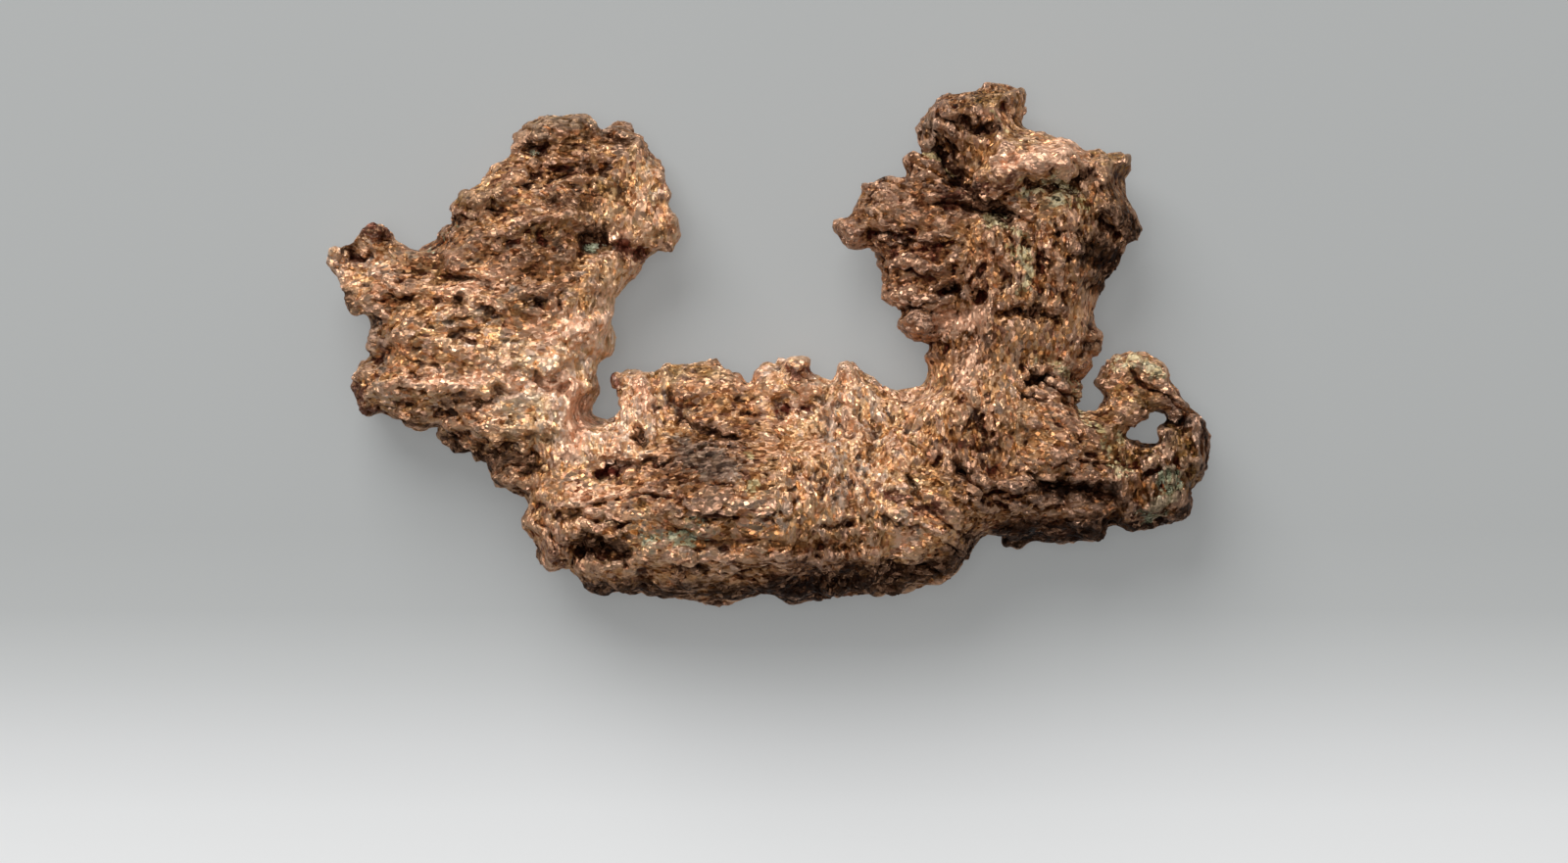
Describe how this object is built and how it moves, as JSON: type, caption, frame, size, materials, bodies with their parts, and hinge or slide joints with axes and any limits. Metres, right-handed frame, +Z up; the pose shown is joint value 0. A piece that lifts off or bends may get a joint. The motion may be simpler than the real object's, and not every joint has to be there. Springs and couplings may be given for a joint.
{
  "type": "native copper nugget",
  "caption": "Flat, rough native copper nugget with two arms over a thick bar, an open gap between them and a small looped lobe at one end, lying on its back.",
  "frame": {"origin": "on the surface that the nugget lies on, under the middle of its box", "axes": "+X along the nugget, from the left ear to the loop; +Y from the bar towards the open end of the gap between the arms; +Z up, out of its front face"},
  "size_m": [0.096, 0.0568, 0.0186],
  "materials": {
    "native_copper": "hackly bare copper, pink-orange on the raised grains, brown, olive and grey-green tarnish in the hollows"
  },
  "bodies": {
    "root": {"copper_nugget": "native_copper"}
  },
  "joints": []
}
